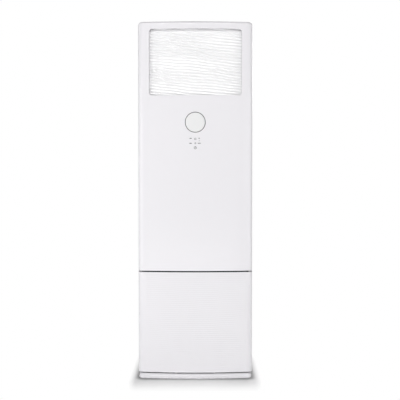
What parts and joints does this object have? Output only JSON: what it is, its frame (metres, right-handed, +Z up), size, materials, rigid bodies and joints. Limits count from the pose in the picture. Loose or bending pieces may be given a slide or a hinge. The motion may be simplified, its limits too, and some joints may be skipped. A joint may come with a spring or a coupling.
{
  "type": "floor standing air conditioner",
  "caption": "Tall cabinet air conditioner with a bowed two-part front, a rippled sliding outlet door over louvres, a round display, side intakes, blower and coil.",
  "frame": {"origin": "on the floor, under the middle of the cabinet", "axes": "+Z up, -Y towards the front with the outlet door, +X to the right seen from the front"},
  "size_m": [0.59, 0.395, 1.84],
  "materials": {
    "gloss_white": "gloss moulded white plastic with a faint cool tint",
    "painted_white": "white powder coated sheet steel",
    "door_white": "gloss white plastic with a rippled face",
    "louvre_white": "satin white plastic",
    "dark_plastic": "dark grey plastic ring",
    "lens_white": "polished translucent white disc",
    "zinc_steel": "galvanised sheet steel",
    "dark_steel": "black painted steel",
    "black_plastic": "black moulded plastic",
    "acetal": "natural acetal",
    "fins": "aluminium fins with a light blue coating",
    "copper": "copper tube",
    "foam": "white foam board",
    "hose": "grey flexible hose",
    "rubber": "black rubber",
    "filter_mesh": "fine blue grey mesh in a plastic frame",
    "circuit": "green circuit board with its parts"
  },
  "bodies": {
    "cabinet": {"base_plinth": "gloss_white", "base_tray": "zinc_steel", "panel_hinge_left": "acetal", "panel_hinge_right": "acetal", "upper_front_panel": "gloss_white", "side_panel_left": "painted_white", "side_panel_right": "painted_white", "rear_panel": "painted_white", "top_cover": "gloss_white", "mid_crossbar": "dark_steel", "pipe_grommet": "rubber", "cable_gland": "black_plastic", "door_rail_left": "acetal", "door_rail_right": "acetal", "door_motor": "zinc_steel", "outlet_frame": "louvre_white", "louvre_motor": "zinc_steel", "vane_motor": "zinc_steel", "display_bezel": "dark_plastic", "display_lens": "lens_white", "display_board": "black_plastic", "coil_core": "fins", "coil_plate_left": "zinc_steel", "coil_plate_right": "zinc_steel", "drain_pan": "foam", "drain_hose": "hose", "gas_pipe": "copper", "liquid_pipe": "copper", "duct_board": "foam", "fan_deck": "zinc_steel", "scroll_housing": "zinc_steel", "inlet_ring": "black_plastic", "fan_motor": "zinc_steel", "motor_bracket": "zinc_steel", "control_box": "zinc_steel", "control_box_lid": "zinc_steel", "control_board": "circuit"},
    "outlet_door": {"outlet_door": "door_white", "door_rack": "acetal"},
    "door_pinion": {"door_pinion": "acetal"},
    "louvre_link": {"louvre_link": "acetal"},
    "vane_link": {"vane_link": "acetal"},
    "fan_wheel": {"fan_wheel": "black_plastic", "fan_shaft": "zinc_steel"},
    "lower_panel": {"lower_front_panel": "gloss_white"},
    "intake_left": {"intake_grille_left": "gloss_white", "filter_left": "filter_mesh"},
    "intake_right": {"intake_grille_right": "gloss_white", "filter_right": "filter_mesh"},
    "louvre_1": {"louvre_1": "louvre_white"},
    "vane_1": {"vane_1": "louvre_white"},
    "louvre_2": {"louvre_2": "louvre_white"},
    "vane_2": {"vane_2": "louvre_white"},
    "louvre_3": {"louvre_3": "louvre_white"},
    "vane_3": {"vane_3": "louvre_white"},
    "louvre_4": {"louvre_4": "louvre_white"},
    "vane_4": {"vane_4": "louvre_white"},
    "louvre_5": {"louvre_5": "louvre_white"},
    "vane_5": {"vane_5": "louvre_white"}
  },
  "joints": [
    {"name": "outlet_door_slide", "type": "slide", "parent": "cabinet", "child": "outlet_door", "axis": [0, 0, -1], "range_m": [0, 0.35]},
    {"name": "door_pinion_turn", "type": "hinge", "parent": "cabinet", "child": "door_pinion", "pos_m": [0.24, -0.14317, 1.438], "axis": [1, 0, 0], "range_deg": [0, 1440]},
    {"name": "louvre_1_tilt", "type": "hinge", "parent": "cabinet", "child": "louvre_1", "pos_m": [0, -0.12167, 1.504], "axis": [1, 0, 0], "range_deg": [-35, 35]},
    {"name": "louvre_2_tilt", "type": "hinge", "parent": "cabinet", "child": "louvre_2", "pos_m": [0, -0.12167, 1.568], "axis": [1, 0, 0], "range_deg": [-35, 35]},
    {"name": "louvre_3_tilt", "type": "hinge", "parent": "cabinet", "child": "louvre_3", "pos_m": [0, -0.12167, 1.632], "axis": [1, 0, 0], "range_deg": [-35, 35]},
    {"name": "louvre_4_tilt", "type": "hinge", "parent": "cabinet", "child": "louvre_4", "pos_m": [0, -0.12167, 1.696], "axis": [1, 0, 0], "range_deg": [-35, 35]},
    {"name": "louvre_5_tilt", "type": "hinge", "parent": "cabinet", "child": "louvre_5", "pos_m": [0, -0.12167, 1.76], "axis": [1, 0, 0], "range_deg": [-35, 35]},
    {"name": "louvre_link_turn", "type": "hinge", "parent": "louvre_3", "child": "louvre_link", "pos_m": [0, -0.09967, 1.632], "axis": [1, 0, 0], "range_deg": [-35, 35]},
    {"name": "vane_1_swing", "type": "hinge", "parent": "cabinet", "child": "vane_1", "pos_m": [-0.176, -0.05967, 1.632], "axis": [0, 0, 1], "range_deg": [-30, 30]},
    {"name": "vane_2_swing", "type": "hinge", "parent": "cabinet", "child": "vane_2", "pos_m": [-0.088, -0.05967, 1.632], "axis": [0, 0, 1], "range_deg": [-30, 30]},
    {"name": "vane_3_swing", "type": "hinge", "parent": "cabinet", "child": "vane_3", "pos_m": [0, -0.05967, 1.632], "axis": [0, 0, 1], "range_deg": [-30, 30]},
    {"name": "vane_4_swing", "type": "hinge", "parent": "cabinet", "child": "vane_4", "pos_m": [0.088, -0.05967, 1.632], "axis": [0, 0, 1], "range_deg": [-30, 30]},
    {"name": "vane_5_swing", "type": "hinge", "parent": "cabinet", "child": "vane_5", "pos_m": [0.176, -0.05967, 1.632], "axis": [0, 0, 1], "range_deg": [-30, 30]},
    {"name": "vane_link_turn", "type": "hinge", "parent": "vane_1", "child": "vane_link", "pos_m": [-0.176, -0.04267, 1.4805], "axis": [0, 0, 1], "range_deg": [-30, 30]},
    {"name": "fan_spin", "type": "hinge", "parent": "cabinet", "child": "fan_wheel", "pos_m": [-0.02, -0.0475, 0.2578], "axis": [0, 1, 0], "continuous": true},
    {"name": "lower_panel_tilt", "type": "hinge", "parent": "cabinet", "child": "lower_panel", "pos_m": [0, -0.186, 0.0415], "axis": [1, 0, 0], "range_deg": [0, 25]},
    {"name": "intake_left_pull", "type": "slide", "parent": "cabinet", "child": "intake_left", "axis": [-1, 0, 0], "range_m": [0, 0.06]},
    {"name": "intake_right_pull", "type": "slide", "parent": "cabinet", "child": "intake_right", "axis": [1, 0, 0], "range_m": [0, 0.06]}
  ],
  "couplings": [
    {"joint": "door_pinion_turn", "follows": "outlet_door_slide", "rad_per_m": 71.429},
    {"joint": "louvre_1_tilt", "follows": "louvre_3_tilt", "ratio": 1},
    {"joint": "louvre_2_tilt", "follows": "louvre_3_tilt", "ratio": 1},
    {"joint": "louvre_4_tilt", "follows": "louvre_3_tilt", "ratio": 1},
    {"joint": "louvre_5_tilt", "follows": "louvre_3_tilt", "ratio": 1},
    {"joint": "louvre_link_turn", "follows": "louvre_3_tilt", "ratio": -1},
    {"joint": "vane_2_swing", "follows": "vane_1_swing", "ratio": 1},
    {"joint": "vane_3_swing", "follows": "vane_1_swing", "ratio": 1},
    {"joint": "vane_4_swing", "follows": "vane_1_swing", "ratio": 1},
    {"joint": "vane_5_swing", "follows": "vane_1_swing", "ratio": 1},
    {"joint": "vane_link_turn", "follows": "vane_1_swing", "ratio": -1}
  ]
}
